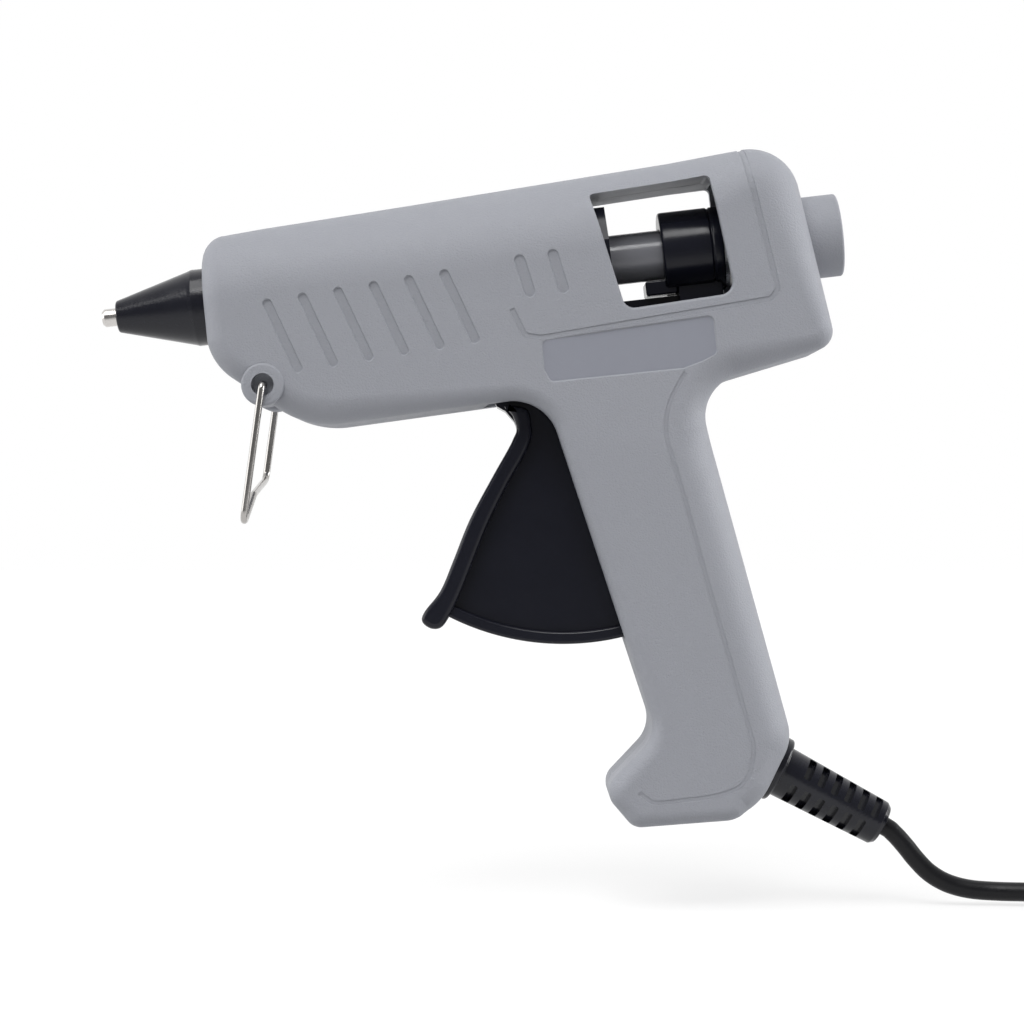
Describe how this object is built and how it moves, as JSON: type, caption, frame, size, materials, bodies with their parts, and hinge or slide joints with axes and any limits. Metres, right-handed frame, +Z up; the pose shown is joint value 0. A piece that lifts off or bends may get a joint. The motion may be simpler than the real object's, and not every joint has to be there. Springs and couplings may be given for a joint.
{
  "type": "hot glue applicator",
  "caption": "Pistol-shaped hot glue applicator with a viewing window, trigger-driven stick feed, heated nozzle, swinging wire stand, slotted cord guard and coiled cord with plug.",
  "frame": {"origin": "centre of the hand grip, on the tool's middle plane", "axes": "+Z up with the tool held as pictured, nose dipped 6.5 degrees; nozzle toward -X; +Y toward the hidden shell"},
  "size_m": [0.3227, 0.0792, 0.1974],
  "materials": {
    "grey_plastic": "fine textured satin",
    "plated_steel": "bright plated",
    "spring_steel": "bare spring steel",
    "nozzle_metal": "bright turned",
    "black_rubber": "smooth satin",
    "cast_aluminium": "as cast",
    "pale_insulator": "matt",
    "lead_sleeve": "satin",
    "red_rubber": "matt",
    "dark_tube": "glossy",
    "black_plastic": "semi-gloss moulded",
    "nickel_wire": "bright nickel",
    "cord_jacket": "satin",
    "plug_pin_metal": "nickel plated"
  },
  "bodies": {
    "housing": {"left_shell": "grey_plastic", "right_shell": "grey_plastic", "shell_screws": "plated_steel", "inlet_tube": "grey_plastic", "nozzle": "nozzle_metal", "nozzle_cover": "black_rubber", "melt_chamber": "cast_aluminium", "chamber_rings": "pale_insulator", "heater": "pale_insulator", "heater_clip": "spring_steel", "lead_crimps": "plated_steel", "heater_leads": "lead_sleeve", "inlet_sleeve": "red_rubber", "sleeve_clip": "plated_steel", "guide_tube": "dark_tube", "front_plate": "black_plastic", "rear_plate": "black_plastic", "return_spring": "spring_steel", "trigger_pin": "plated_steel", "cord_guard": "black_rubber", "cord_clamp": "black_plastic", "clamp_screws": "plated_steel", "cord_lead": "cord_jacket", "cord_coil": "cord_jacket", "cord_tail": "cord_jacket", "coil_tie": "black_plastic", "plug_body": "cord_jacket", "plug_pins": "plug_pin_metal"},
    "trigger_body": {"trigger": "black_plastic", "arm_pin": "plated_steel"},
    "carriage_body": {"carriage": "black_plastic", "grip_plate": "spring_steel", "grip_screws": "plated_steel", "feed_link": "black_plastic", "link_pin": "plated_steel"},
    "stand_body": {"wire_stand": "nickel_wire"}
  },
  "joints": [
    {"name": "trigger_swing", "type": "hinge", "parent": "housing", "child": "trigger_body", "pos_m": [-0.02951, 0, 0.04696], "axis": [0, -1, 0], "range_deg": [0, 24], "stiffness_Nm_per_rad": 0.5, "springref_deg": -20.05},
    {"name": "carriage_slide", "type": "slide", "parent": "housing", "child": "carriage_body", "axis": [-0.9936, 0, -0.1132], "range_m": [0, 0.0075], "deforming": ["return_spring"]},
    {"name": "stand_swing", "type": "hinge", "parent": "housing", "child": "stand_body", "pos_m": [-0.1065, 0, 0.04785], "axis": [0, -1, 0], "range_deg": [-58, 64]}
  ],
  "couplings": [
    {"joint": "carriage_slide", "follows": "trigger_swing", "m_per_rad": 0.017869}
  ]
}
